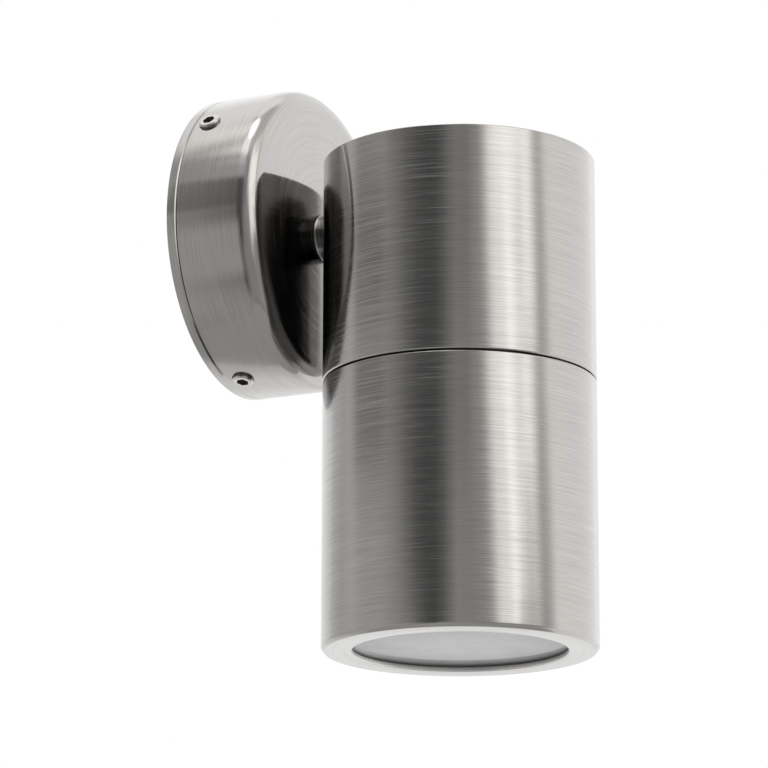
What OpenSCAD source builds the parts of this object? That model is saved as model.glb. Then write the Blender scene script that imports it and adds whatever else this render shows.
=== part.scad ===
// Tube wall light: a down light on a round canopy, in turned and brushed stainless steel.
// The wall is the plane y = 0, the light stands out towards -Y, and the stem's axis meets the
// wall at the origin. The tube hangs on a vertical axis in front of it. Millimetres.

/* [Canopy] */
// Outside diameter of the canopy and of the plate behind it
canopy_d = 68; // [67:0.5:76]
// Depth from the wall to the canopy's front face
canopy_depth = 21.5; // [21.5:0.5:36]
// Thickness of the canopy's side and front
canopy_wall = 2.5; // [2.2:0.1:2.8]
// Radius of the canopy's rounded front edge
canopy_fillet = 4.25; // [3.25:0.25:6]
// Open seam between the plate and the canopy's rim
canopy_seam = 0.4; // [0.2:0.1:0.6]

/* [Mounting plate] */
// Thickness of the plate on the wall
plate_t = 2.3; // [2.1:0.1:2.4]
// Reach of the plate's spigot into the canopy
spigot_reach = 8.7; // [8:0.1:10]
// Thickness of the spigot's wall
spigot_wall = 2; // [1.5:0.1:2.5]
// Ring gap between the spigot and the canopy
spigot_gap = 2.2; // [1.8:0.1:2.5]
// Distance between the two wall screws
wall_screw_spacing = 44; // [38:1:44]
// Diameter of the wall screws' holes
wall_screw_hole_d = 4.8; // [4:0.1:5.4]
// Diameter of the supply cable that the grommet takes
cable_d = 7; // [5:0.5:8]

/* [Set screws] */
// Thread diameter of the canopy's set screws
set_screw_d = 5; // [4:0.5:5]
// Distance from the wall to the set screws' axes
set_screw_place = 6.1; // [6.1:0.1:7]
// How far the screws' heads stand out of the canopy's side
set_screw_stand = 0.8; // [0.1:0.1:1.4]
// Width across the flats of their hexagon sockets
set_screw_key = 2.5; // [1.5:0.25:2.5]
// Angle of the single screw above the horizontal
set_screw_angle = 17; // [0:1:40]
// Angle between the pair of screws on the other side
set_screw_spread = 115.2; // [100:0.1:130]

/* [Stem] */
// Outside diameter of the stem's shoulder
stem_d = 11; // [10.5:0.5:13]
// Clear length between the canopy and the tube
stem_length = 3.5; // [3:0.5:20]
// Diameter of the stem's threaded ends
stem_thread_d = 8; // [7.6:0.2:8.6]
// Diameter of the passage for the leads
stem_bore_d = 5.4; // [5.2:0.1:6]

/* [Tube] */
// Outside diameter of the tube and of the hood
tube_d = 60; // [54:0.5:72]
// Thickness of the upper tube's wall
tube_wall = 2; // [1.6:0.1:2.4]
// Height of the tube's top above the stem's axis
top_rise = 12.75; // [12.25:0.25:30]
// Length of the upper tube
body_length = 49.75; // [48:0.25:80]
// Thickness of the cap in the tube's top
cap_t = 2.5; // [1.5:0.1:2.8]
// Width of the open seam between the tube and the hood
tube_seam = 0.45; // [0.3:0.05:0.8]

/* [Hood] */
// Thickness of the hood's wall
hood_wall = 3; // [2.8:0.1:3.4]
// Width of the lip round the light opening, inside the wall
lip_width = 3.65; // [2.65:0.05:6]
// Thickness of the lip under the glass
lip_t = 1; // [0.8:0.1:1.4]
// Chamfer on the hood's lower edge
hood_chamfer = 0.75; // [0.3:0.05:0.9]
// Length of the thread that carries the hood
thread_length = 7.5; // [6:0.5:9]

/* [Glass] */
// Thickness of the glass
glass_t = 4; // [3:0.1:4.4]
// Thickness of the gasket under the glass
gasket_t = 0.3; // [0.2:0.05:0.5]
// Thickness of the cushion above the glass
cushion_t = 0.8; // [0.5:0.1:1]
// Height of the ring that holds the glass down
lens_ring_t = 3; // [2:0.1:3.4]

/* [Lamp] */
// Length of the lamp from its base to its face
lamp_length = 47; // [42:0.5:56]
// Gap all round between the lamp's rim and the hood
lamp_gap = 2; // [1.5:0.25:4]
// Clear height between the lamp's face and the ring that holds the glass
lamp_clear = 1.85; // [1:0.05:6]
// Distance between the lamp's two pins
pin_spacing = 10; // [9.8:0.1:10.2]
// Angle that the lamp turns to let its pins out
bayonet_angle = 30; // [20:1:35]

/* [Wiring] */
// Outside diameter of each lead
lead_d = 1.8; // [1.4:0.1:2]
// Distance between the ways of the terminal block
terminal_pitch = 7.5; // [7.2:0.1:8]

/* [Hidden] */
$fn = 96;

// Overrun of a cut past the face that it opens
overrun = 1;
// Radial clearance of a piece that is pressed or seated in another
seat_fit = 0.05;
// Radial clearance of a thread, a loose screw or a turning piece
thread_fit = 0.1;
// Clearance of a soft or loose piece from what moves past it
loose_gap = 0.3;
// Chamfer on turned edges
edge_break = 0.25;

// Mounting plate and canopy, measured out from the wall
canopy_r = canopy_d / 2;
canopy_bore_r = canopy_r - canopy_wall;
canopy_rim = plate_t + canopy_seam;
canopy_floor = canopy_depth - canopy_wall;
canopy_inner_fillet = canopy_fillet - canopy_wall;
spigot_r = canopy_bore_r - spigot_gap;
spigot_bore_r = spigot_r - spigot_wall;

// Wall gasket, in a groove in the plate's back
gasket_depth = 1.2;
gasket_width = 3;
gasket_inset = 1.5;
gasket_r = canopy_r - gasket_inset;

// Plate seal, round the root of the spigot
plate_seal_r = 0.5;

// Grommet, held by a lip on each face of the plate
grommet_wall = 2.5;
grommet_lip = 2.1;
grommet_lip_t = 1.2;
grommet_back_t = 0.8;
grommet_nose = 2;
grommet_taper = 1;
grommet_r = cable_d / 2 + grommet_wall;

// Set screws, round the canopy's side
set_screw_r = set_screw_d / 2;
set_screw_tip_gap = 0.1;
set_screw_socket_depth = 2;
set_screw_chamfer = 0.3;
set_screw_angles = [set_screw_angle, set_screw_angle + 180 - set_screw_spread / 2,
  set_screw_angle + 180 + set_screw_spread / 2];

// Tube, in front of the wall by its reach
tube_r = tube_d / 2;
tube_bore_r = tube_r - tube_wall;
reach = canopy_depth + stem_length + tube_r;
body_bottom = top_rise - body_length;
cap_ledge = 0.8;
cap_seat_r = tube_bore_r + cap_ledge;

// Stem and what clamps it, measured out from the wall
stem_r = stem_d / 2;
stem_thread_r = stem_thread_d / 2;
stem_hole_r = stem_thread_r + thread_fit;
stem_bore_r = stem_bore_d / 2;
stem_seal_t = 0.2;
tube_seal_t = 0.4;
stem_seal_inset = 0.15;
washer_r = 7.6;
washer_t = 1;
nut_t = 4;
nut_across_flats = 13;
thread_end = 0.8;
saddle_r = 8;
saddle_t = 2.5;
canopy_nut_place = canopy_floor - washer_t - nut_t;
stem_start = canopy_nut_place - thread_end;
saddle_face = reach - tube_bore_r + saddle_t;
stem_end = saddle_face + nut_t + thread_end;

// Neck ring and the hood's thread, heights from the stem's axis
hood_top = body_bottom - tube_seam;
hood_bore_r = tube_r - hood_wall;
neck_hold = 13.5;
neck_wall = 2.9;
neck_top = body_bottom + neck_hold;
neck_r = hood_bore_r - thread_fit;
neck_bore_r = neck_r - neck_wall;
neck_seal_d = 1.8;
neck_groove_depth = 1.1;
neck_groove_width = 2.2;
neck_groove_drop = 0.8;
neck_land = 0.5;
neck_groove_r = neck_r - neck_groove_depth;
neck_groove_top = body_bottom - neck_groove_drop;
neck_groove_bottom = neck_groove_top - neck_groove_width;
neck_thread_top = neck_groove_bottom - neck_land;
neck_bottom = neck_thread_top - thread_length;
hood_mouth_r = neck_groove_r + seat_fit + neck_seal_d + loose_gap;

// Holder bracket across the neck ring, with the earth screw beside the lamp holder
bracket_t = 1.5;
bracket_width = 17;
bracket_top = neck_top + bracket_t;
bracket_screw_r = 1.2;
bracket_screw_head_r = 1.7;
bracket_screw_head_t = 1.4;
bracket_screw_grip = 6;
bracket_screw_x = (neck_bore_r + tube_bore_r) / 2;
earth_screw_r = 1.4;
earth_screw_grip = 2.5;
screw_head_r = 2.7;
screw_head_t = 1.6;
screw_slot_w = 0.7;
screw_slot_depth = 0.8;
tag_t = 0.8;
tag_r = 2.7;
tag_barrel_r = 1.5;
tag_barrel_start = 3.2;
tag_barrel_length = 5;
tag_barrel_bottom = 1;
tag_tongue_w = 2;

// Lamp holder, under the bracket
holder_r = 13.5;
holder_height = 15;
holder_face = neck_top - holder_height;
holder_lip = 3.4;
holder_chamber = 4.1;
holder_chamfer = 0.8;
holder_screw_x = 10.5;
holder_screw_r = 1.4;
holder_screw_grip = 6;
contact_t = 0.5;
contact_r = 2.2;
contact_stub = 1.5;
contact_top = holder_face + holder_lip + holder_chamber;
earth_screw_x = (holder_screw_x + screw_head_r + bracket_screw_x - bracket_screw_head_r) / 2;

// Lamp, from its base down to its face
lamp_r = hood_bore_r - lamp_gap;
lamp_base = holder_face - loose_gap;
lamp_face = lamp_base - lamp_length;
lamp_base_r = 14;
lamp_base_length = 8;
lamp_rim = 6;
lamp_wall = 2.2;
lamp_lens_t = 2;
lamp_lens_inset = 0.2;
lamp_lens_ledge = 1.2;
lamp_board_t = 1.6;
lamp_board_ledge = 2.8;
lamp_emitter_r = 9;
lamp_emitter_t = 0.8;
lamp_driver_gap = 1.8;
lamp_driver_t = 20;
pin_neck_r = 1.4;
pin_head_r = 2.5;
pin_head_t = 3;
pin_neck_length = holder_lip + 2 * loose_gap;

// Glass and what holds it on the hood's lip, from the lamp's face down
window_r = hood_bore_r - lip_width;
lip_chamfer = 0.3;
glass_gap = 0.5;
glass_r = hood_bore_r - glass_gap;
glass_chamfer = 0.4;
lens_ring_bottom = lamp_face - lamp_clear - lens_ring_t;
lens_ring_bore_r = neck_bore_r;
lens_ring_slot_w = 3;
lens_ring_slot_depth = 1.4;
glass_top = lens_ring_bottom - cushion_t;
glass_bottom = glass_top - glass_t;
gasket_bottom = glass_bottom - gasket_t;
hood_bottom = gasket_bottom - lip_t;
hood_length = hood_top - hood_bottom;

// Terminal block, on the canopy's floor under the nut
block_gap = 2.4;
block_drop = washer_r + block_gap;
block_height = 11;
block_t = 9;
block_margin = 0.75;
block_width = 3 * terminal_pitch + 2 * block_margin;
block_face = canopy_floor - block_t;
block_screw_r = 1.1;
block_screw_head_r = 1.8;
block_screw_bite = 1.2;
sleeve_r = 2;
sleeve_wall = 0.75;
sleeve_place = canopy_floor - block_t / 2;
clamp_screw_r = 1.15;
clamp_screw_inset = 2.5;
clamp_screw_rise = 0.3;
clamp_slot_w = 0.4;
clamp_slot_depth = 0.5;

// Leads, each a tube swept along its route
lead_r = lead_d / 2;
lead_sides = 8;
lead_steps = 2;
lead_grip = 4;
lead_ring_r = stem_bore_r / 2;
lead_angles = [150, 270, 30];
lead_turn_r = 2.4;
lead_bow = 2;

// Turned disc, with a chamfer on its lower and its upper edge
module disc(r, h, low = 0, high = 0) {
  rotate_extrude()
    polygon([[0, 0], [r - low, 0], [r, low], [r, h - high], [r - high, h], [0, h]]);
}

// Turned ring
module ring(r, bore_r, h) {
  difference() {
    cylinder(h = h, r = r);
    translate([0, 0, -overrun])
      cylinder(h = h + 2 * overrun, r = bore_r);
  }
}

// Round seal of a round section, lying on its side
module seal_ring(r, section_r) {
  rotate_extrude()
    translate([r, 0])
      circle(r = section_r);
}

// Puts a piece drawn upwards so that it stands out from the wall
module out_from_wall(depth = 0) {
  translate([0, -depth, 0])
    rotate([90, 0, 0])
      children();
}

// Puts a piece on the tube's axis, at a height from the stem's axis
module on_tube(height = 0) {
  translate([0, -reach, height])
    children();
}

// Puts a copy of a piece at each of two places, the same distance either side
module both_sides(x) {
  for (side = [-1, 1])
    translate([side * x, 0, 0])
      children();
}

// Screw with a slotted flat head, its head's underside at zero
module slotted_screw(r, grip, head_r, head_t, slot_w, slot_depth) {
  translate([0, 0, -grip])
    cylinder(h = grip + head_t / 2, r = r);
  difference() {
    disc(head_r, head_t, 0, edge_break);
    translate([-head_r - overrun, -slot_w / 2, head_t - slot_depth])
      cube([2 * (head_r + overrun), slot_w, slot_depth + overrun]);
  }
}

// Thin hexagon nut
module hex_nut() {
  difference() {
    cylinder(h = nut_t, r = nut_across_flats / 2 / cos(30), $fn = 6);
    translate([0, 0, -overrun])
      cylinder(h = nut_t + 2 * overrun, r = stem_hole_r);
  }
}

// The canopy's outside or inside, from its rim outwards
module canopy_form(r, depth, fillet) {
  rotate_extrude() {
    square([r - fillet, depth]);
    square([r, depth - fillet]);
    translate([r - fillet, depth - fillet])
      circle(r = fillet);
  }
}

// Puts a piece drawn upwards at each set screw, pointing out of the canopy's side
module at_set_screws(r) {
  for (angle = set_screw_angles)
    rotate([0, 0, angle])
      translate([r, 0, set_screw_place])
        rotate([0, 90, 0])
          children();
}

module mounting_plate() {
  color("silver")
    out_from_wall()
      difference() {
        union() {
          disc(canopy_r, plate_t, edge_break, edge_break);
          cylinder(h = plate_t + spigot_reach, r = spigot_r);
        }
        translate([0, 0, plate_t])
          cylinder(h = spigot_reach + overrun, r = spigot_bore_r);
        translate([0, 0, -overrun])
          ring(gasket_r, gasket_r - gasket_width, gasket_depth + overrun);
        translate([0, 0, -overrun])
          cylinder(h = plate_t + 2 * overrun, r = grommet_r + seat_fit);
        translate([0, 0, -overrun])
          cylinder(h = grommet_back_t + overrun, r = grommet_r + grommet_lip + thread_fit);
        both_sides(wall_screw_spacing / 2)
          translate([0, 0, -overrun])
            cylinder(h = plate_t + 2 * overrun, d = wall_screw_hole_d);
      }
}

module wall_gasket() {
  color("dimgray")
    out_from_wall()
      ring(gasket_r - seat_fit, gasket_r - gasket_width + seat_fit, gasket_depth);
}

module cable_grommet() {
  color("black")
    out_from_wall()
      difference() {
        union() {
          cylinder(h = grommet_back_t, r = grommet_r + grommet_lip);
          cylinder(h = plate_t + grommet_lip_t, r = grommet_r);
          translate([0, 0, plate_t])
            cylinder(h = grommet_lip_t, r = grommet_r + grommet_lip);
          translate([0, 0, plate_t + grommet_lip_t])
            cylinder(h = grommet_nose, r1 = grommet_r, r2 = grommet_r - grommet_taper);
        }
        translate([0, 0, -overrun])
          cylinder(h = plate_t + grommet_lip_t + grommet_nose + 2 * overrun, d = cable_d);
      }
}

module plate_seal() {
  color("black")
    out_from_wall(plate_t + seat_fit + plate_seal_r)
      seal_ring(spigot_r + seat_fit + plate_seal_r, plate_seal_r);
}

module canopy() {
  color("silver")
    out_from_wall()
      difference() {
        translate([0, 0, canopy_rim])
          canopy_form(canopy_r, canopy_depth - canopy_rim, canopy_fillet);
        translate([0, 0, canopy_rim - overrun])
          canopy_form(canopy_bore_r, canopy_floor - canopy_rim + overrun, canopy_inner_fillet);
        translate([0, 0, canopy_rim])
          rotate_extrude()
            polygon([[canopy_r - edge_break, 0], [canopy_r, edge_break],
              [canopy_r + edge_break, -edge_break]]);
        translate([0, 0, canopy_floor - overrun])
          cylinder(h = canopy_wall + 2 * overrun, r = stem_hole_r);
        at_set_screws(canopy_bore_r - overrun)
          cylinder(h = canopy_wall + 2 * overrun, r = set_screw_r);
        at_block_screws(canopy_floor - overrun)
          cylinder(h = block_screw_bite + thread_fit + overrun, r = block_screw_r + thread_fit);
      }
}

module set_screws() {
  tip_r = spigot_r + set_screw_tip_gap;
  length = canopy_r + set_screw_stand - tip_r;
  color("gray")
    out_from_wall()
      at_set_screws(tip_r)
        difference() {
          disc(set_screw_r - thread_fit, length, edge_break, set_screw_chamfer);
          translate([0, 0, length - set_screw_socket_depth])
            cylinder(h = set_screw_socket_depth + overrun, r = set_screw_key / 2 / cos(30), $fn = 6);
        }
}

module canopy_washer() {
  color("lightgray")
    out_from_wall(canopy_floor - washer_t)
      ring(washer_r, stem_hole_r, washer_t);
}

module canopy_nut() {
  color("lightgray")
    out_from_wall(canopy_nut_place)
      hex_nut();
}

module stem_seal() {
  color("black")
    out_from_wall(canopy_depth)
      ring(stem_r - stem_seal_inset, stem_hole_r, stem_seal_t);
}

module stem() {
  shoulder_start = canopy_depth + stem_seal_t;
  color("silver")
    out_from_wall()
      difference() {
        union() {
          translate([0, 0, stem_start])
            disc(stem_thread_r, stem_end - stem_start, edge_break, edge_break);
          difference() {
            translate([0, 0, shoulder_start])
              disc(stem_r, reach - shoulder_start, edge_break);
            translate([0, 0, reach])
              rotate([90, 0, 0])
                cylinder(h = 2 * reach, r = tube_r + tube_seal_t, center = true);
          }
        }
        translate([0, 0, stem_start - overrun])
          cylinder(h = stem_end - stem_start + 2 * overrun, r = stem_bore_r);
      }
}

module tube_seal() {
  color("black")
    difference() {
      intersection() {
        out_from_wall(canopy_depth)
          ring(stem_r - stem_seal_inset, stem_hole_r, reach - canopy_depth);
        on_tube(-stem_d)
          cylinder(h = 2 * stem_d, r = tube_r + tube_seal_t);
      }
      on_tube(-2 * stem_d)
        cylinder(h = 4 * stem_d, r = tube_r);
    }
}

module saddle_washer() {
  color("lightgray")
    intersection() {
      out_from_wall(saddle_face - 2 * saddle_t)
        ring(saddle_r, stem_hole_r, 2 * saddle_t);
      on_tube(-2 * saddle_r)
        cylinder(h = 4 * saddle_r, r = tube_bore_r - seat_fit);
    }
}

module tube_nut() {
  color("lightgray")
    out_from_wall(saddle_face)
      hex_nut();
}

// Puts a piece at each way of the terminal block, on its centre line
module at_ways() {
  for (way = [-1, 0, 1])
    translate([way * terminal_pitch, 0, 0])
      children();
}

// Puts a piece at each of the block's two fixing screws
module at_block_screws(depth) {
  both_sides(terminal_pitch / 2)
    translate([0, -block_drop - block_height / 2, depth])
      children();
}

// Puts a piece at each clamp screw, at the sleeves' middle
module at_clamp_screws() {
  at_ways()
    for (up = [-clamp_screw_inset, clamp_screw_inset - block_height])
      translate([0, up - block_drop, sleeve_place])
        rotate([180, 0, 0])
          children();
}

// One way of the block, drawn down from the block's top
module way_rod(r, past = 0) {
  translate([0, -block_drop + past, sleeve_place])
    rotate([90, 0, 0])
      cylinder(h = block_height + 2 * past, r = r);
}

module terminal_block() {
  color("ivory")
    out_from_wall()
      difference() {
        translate([-block_width / 2, -block_drop - block_height, block_face])
          cube([block_width, block_height, block_t]);
        at_ways()
          way_rod(sleeve_r + seat_fit, overrun);
        at_clamp_screws()
          cylinder(h = block_t, r = clamp_screw_r + thread_fit);
        at_block_screws(block_face - overrun)
          cylinder(h = block_t + 2 * overrun, r = block_screw_r + thread_fit);
        at_block_screws(block_face - overrun)
          cylinder(h = overrun + clamp_screw_rise + screw_head_t, r = block_screw_head_r + thread_fit);
      }
}

module terminal_sleeves() {
  color("gold")
    out_from_wall()
      difference() {
        at_ways()
          way_rod(sleeve_r);
        at_ways()
          way_rod(sleeve_r - sleeve_wall, overrun);
        at_clamp_screws()
          cylinder(h = block_t, r = clamp_screw_r + thread_fit);
      }
}

module terminal_screws() {
  length = block_t / 2 + clamp_screw_rise - lead_r - thread_fit;
  color("gray")
    out_from_wall()
      at_clamp_screws()
        translate([0, 0, lead_r + thread_fit])
          difference() {
            cylinder(h = length, r = clamp_screw_r);
            translate([-clamp_screw_r - overrun, -clamp_slot_w / 2, length - clamp_slot_depth])
              cube([2 * (clamp_screw_r + overrun), clamp_slot_w, clamp_slot_depth + overrun]);
          }
}

module block_screws() {
  seat = block_face + clamp_screw_rise + screw_head_t;
  color("gray")
    out_from_wall()
      at_block_screws(seat)
        rotate([180, 0, 0])
          slotted_screw(block_screw_r, canopy_floor + block_screw_bite - seat, block_screw_head_r,
            screw_head_t, screw_slot_w, screw_slot_depth);
}

// One point of a smooth curve through b and c, with a before them and d after
function curve_point(a, b, c, d, t) = ((2 * b) + (c - a) * t
  + (2 * a - 5 * b + 4 * c - d) * t * t + (3 * b - a - 3 * c + d) * t * t * t) / 2;

// The whole curve through a route's points, with so many steps to each stretch
function smooth_route(p, steps) = [
  for (i = [0 : len(p) - 2])
    for (s = [0 : steps - 1])
      curve_point(p[max(i - 1, 0)], p[i], p[i + 1], p[min(i + 2, len(p) - 1)], s / steps),
  p[len(p) - 1]
];

function unit(v) = v / norm(v);

// A closed tube of triangles along a curve that never runs parallel to X
module swept_lead(route) {
  curve = smooth_route(route, lead_steps);
  count = len(curve);
  last = count - 1;
  rings = [
    for (i = [0 : last])
      let (
        along = unit(curve[min(i + 1, last)] - curve[max(i - 1, 0)]),
        side = unit(cross(along, [1, 0, 0])),
        over = cross(along, side)
      )
      for (k = [0 : lead_sides - 1])
        curve[i] + lead_r * (cos(360 * k / lead_sides) * side + sin(360 * k / lead_sides) * over)
  ];
  walls = [
    for (i = [0 : last - 1])
      for (k = [0 : lead_sides - 1])
        let (
          a = i * lead_sides + k,
          b = i * lead_sides + (k + 1) % lead_sides
        )
        each [[a, a + lead_sides, b], [b, a + lead_sides, b + lead_sides]]
  ];
  ends = [
    for (k = [1 : lead_sides - 2])
      each [[0, k, k + 1], [last * lead_sides, last * lead_sides + k + 1, last * lead_sides + k]]
  ];
  polyhedron(points = rings, faces = concat(walls, ends));
}

// A lead's place in the stem's bore, at a distance from the wall
function in_bore(way, depth) = [lead_ring_r * cos(lead_angles[way + 1]), -depth,
  lead_ring_r * sin(lead_angles[way + 1])];

// From its way in the block up behind the nut, round a half turn and through the stem
rise_shares = [[0.94, 0.1, 0.26], [0.68, 0.46, 0.54], [0.38, 0.86, 0.78], [0.18, 1, 1]];
function block_to_stem(way) =
  let (
    mouth = [way * terminal_pitch, -sleeve_place, -block_drop],
    entry = in_bore(way, stem_start - lead_turn_r / 2),
    side = entry + [0, lead_turn_r, -lead_turn_r]
  )
  [
    mouth - [0, 0, lead_grip],
    mouth,
    for (share = rise_shares)
      [side[0] + (mouth[0] - side[0]) * share[0], mouth[1] + (side[1] - mouth[1]) * share[1],
        mouth[2] + (side[2] - mouth[2]) * share[2]],
    entry + lead_turn_r * [0, cos(45), sin(45) - 1],
    entry,
    in_bore(way, stem_start + lead_d),
    in_bore(way, canopy_depth),
    in_bore(way, stem_end)
  ];

// From the stem's inner end to a point above its terminal, bowed to one side
function stem_to_end(way, end, shares) =
  let (start = in_bore(way, stem_end + lead_r / 2))
  [
    for (share = shares)
      [start[0] + (end[0] - start[0]) * share[0] + way * lead_bow * sin(180 * share[0]),
        start[1] + (end[1] - start[1]) * share[1], start[2] + (end[2] - start[2]) * share[2]],
    end
  ];

drop_shares = [[0.2, 0.22, 0.04], [0.52, 0.52, 0.22], [0.8, 0.8, 0.5], [0.96, 0.96, 0.78]];
earth_shares = [[0.1, 0.24, 0.09], [0.38, 0.42, 0.4], [0.7, 0.54, 0.71], [0.93, 0.7, 0.94]];

// Live or neutral: down through the bracket to its contact
module contact_lead(way, pin_side) {
  above = [0, pin_side * pin_spacing / 2 - reach, bracket_top + lead_d / 2];
  end = [above[0], above[1], contact_top + contact_stub];
  swept_lead(concat(block_to_stem(way), stem_to_end(way, above, drop_shares),
    [(above + end) / 2, end]));
}

module live_lead() {
  color("saddlebrown")
    contact_lead(1, 1);
}

module neutral_lead() {
  color("royalblue")
    contact_lead(-1, -1);
}

module earth_lead() {
  axis_height = bracket_top + tag_barrel_r;
  barrel_end = tag_barrel_start + tag_barrel_length;
  entry = [earth_screw_x, barrel_end + lead_d - reach, axis_height];
  end = [earth_screw_x, tag_barrel_start + tag_barrel_bottom - reach, axis_height];
  color("yellowgreen")
    swept_lead(concat(block_to_stem(0), stem_to_end(0, entry, earth_shares), [(entry + end) / 2, end]));
}

module earth_tag() {
  color("gold")
    on_tube(bracket_top)
      translate([earth_screw_x, 0, 0])
        difference() {
          union() {
            cylinder(h = tag_t, r = tag_r);
            translate([-tag_tongue_w / 2, 0, 0])
              cube([tag_tongue_w, tag_barrel_start + tag_barrel_bottom, tag_t]);
            translate([0, tag_barrel_start, tag_barrel_r])
              rotate([-90, 0, 0])
                cylinder(h = tag_barrel_length, r = tag_barrel_r);
          }
          translate([0, tag_barrel_start + tag_barrel_bottom, tag_barrel_r])
            rotate([-90, 0, 0])
              cylinder(h = tag_barrel_length + overrun, r = lead_r + thread_fit);
          translate([0, 0, -overrun])
            cylinder(h = tag_barrel_r + 2 * overrun, r = earth_screw_r + thread_fit);
        }
}

module earth_screw() {
  color("gold")
    on_tube(bracket_top + tag_t)
      translate([earth_screw_x, 0, 0])
        slotted_screw(earth_screw_r, tag_t + bracket_t + earth_screw_grip, screw_head_r, screw_head_t,
          screw_slot_w, screw_slot_depth);
}

module body_tube() {
  color("silver")
    difference() {
      on_tube(body_bottom)
        disc(tube_r, body_length, edge_break, edge_break);
      on_tube(body_bottom - overrun)
        cylinder(h = body_length + 2 * overrun, r = tube_bore_r);
      on_tube(top_rise - cap_t)
        cylinder(h = cap_t + overrun, r = cap_seat_r);
      out_from_wall(canopy_depth)
        cylinder(h = reach - canopy_depth, r = stem_hole_r);
    }
}

module body_cap() {
  color("silver")
    on_tube(top_rise - cap_t)
      disc(cap_seat_r - seat_fit, cap_t, 0, edge_break);
}

module neck_ring() {
  color("lightgray")
    difference() {
      union() {
        on_tube(body_bottom)
          disc(tube_bore_r - seat_fit, neck_hold, edge_break, edge_break);
        on_tube(neck_bottom)
          disc(neck_r, body_bottom - neck_bottom + neck_hold / 2, edge_break);
      }
      on_tube(neck_bottom - overrun)
        cylinder(h = neck_top - neck_bottom + 2 * overrun, r = neck_bore_r);
      on_tube(neck_groove_bottom)
        ring(tube_r, neck_groove_r, neck_groove_width);
      on_tube(neck_top - bracket_screw_grip)
        both_sides(bracket_screw_x)
          cylinder(h = bracket_screw_grip + overrun, r = bracket_screw_r + thread_fit);
    }
}

module neck_seal() {
  color("black")
    on_tube(neck_groove_top - neck_groove_width / 2)
      seal_ring(neck_groove_r + seat_fit + neck_seal_d / 2, neck_seal_d / 2);
}

module holder_bracket() {
  color("silver")
    on_tube(neck_top)
      difference() {
        intersection() {
          cylinder(h = bracket_t, r = tube_bore_r - loose_gap);
          translate([-tube_r, -bracket_width / 2, 0])
            cube([tube_d, bracket_width, bracket_t]);
        }
        translate([0, 0, -overrun]) {
          both_sides(bracket_screw_x)
            cylinder(h = bracket_t + 2 * overrun, r = bracket_screw_r + thread_fit);
          both_sides(holder_screw_x)
            cylinder(h = bracket_t + 2 * overrun, r = holder_screw_r + thread_fit);
          rotate([0, 0, 90])
            both_sides(pin_spacing / 2)
              cylinder(h = bracket_t + 2 * overrun, r = lead_r + loose_gap);
          translate([earth_screw_x, 0, 0])
            cylinder(h = bracket_t + 2 * overrun, r = earth_screw_r + thread_fit);
        }
      }
}

module bracket_screws() {
  color("gray")
    on_tube(bracket_top)
      both_sides(bracket_screw_x)
        slotted_screw(bracket_screw_r, bracket_t + bracket_screw_grip - thread_fit,
          bracket_screw_head_r, bracket_screw_head_t, screw_slot_w, screw_slot_depth);
}

// Slot curved round the tube's axis, for a pin that turns from one angle to the other
module bayonet_slot(r, h, from, to) {
  rotate([0, 0, from])
    rotate_extrude(angle = to - from)
      translate([pin_spacing / 2 - r, 0])
        square([2 * r, h]);
}

module lamp_holder() {
  neck_slot_r = pin_neck_r + loose_gap;
  head_slot_r = pin_head_r + loose_gap;
  neck_past = asin(2 * neck_slot_r / pin_spacing);
  head_past = asin(2 * head_slot_r / pin_spacing);
  entry_angle = 90 + bayonet_angle;
  color("white")
    on_tube(holder_face)
      difference() {
        disc(holder_r, holder_height, holder_chamfer, holder_chamfer);
        for (turn = [0, 180])
          rotate([0, 0, turn]) {
            translate([0, 0, -overrun])
              bayonet_slot(neck_slot_r, holder_lip + 2 * overrun, 90 - neck_past, entry_angle);
            translate([0, 0, holder_lip])
              bayonet_slot(head_slot_r, holder_chamber, 90 - head_past, entry_angle + head_past);
            rotate([0, 0, entry_angle])
              translate([pin_spacing / 2, 0, -overrun])
                cylinder(h = holder_lip + 2 * overrun, r = pin_head_r + thread_fit);
            rotate([0, 0, 90])
              translate([pin_spacing / 2, 0, holder_lip + overrun])
                cylinder(h = holder_height, r = lead_r + thread_fit);
          }
        both_sides(holder_screw_x)
          translate([0, 0, holder_height - holder_screw_grip])
            cylinder(h = holder_screw_grip + overrun, r = holder_screw_r + thread_fit);
      }
}

module holder_contacts() {
  color("gold")
    on_tube(contact_top)
      rotate([0, 0, 90])
        both_sides(pin_spacing / 2) {
          translate([0, 0, -contact_t])
            cylinder(h = contact_t, r = contact_r);
          cylinder(h = contact_stub, r = lead_r);
        }
}

module holder_screws() {
  color("gray")
    on_tube(bracket_top)
      both_sides(holder_screw_x)
        slotted_screw(holder_screw_r, bracket_t + holder_screw_grip - thread_fit, screw_head_r,
          screw_head_t, screw_slot_w, screw_slot_depth);
}

module lens_gasket() {
  color("black")
    on_tube(gasket_bottom)
      ring(glass_r, window_r, gasket_t);
}

module lens_glass() {
  color("lightsteelblue")
    on_tube(glass_bottom)
      disc(glass_r, glass_t, glass_chamfer, glass_chamfer);
}

module lens_cushion() {
  color("black")
    on_tube(glass_top)
      ring(glass_r, lens_ring_bore_r, cushion_t);
}

module lens_ring() {
  color("silver")
    on_tube(lens_ring_bottom)
      difference() {
        ring(hood_bore_r - thread_fit, lens_ring_bore_r, lens_ring_t);
        translate([-tube_r, -lens_ring_slot_w / 2, lens_ring_t - lens_ring_slot_depth])
          cube([tube_d, lens_ring_slot_w, lens_ring_slot_depth + overrun]);
      }
}

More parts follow.
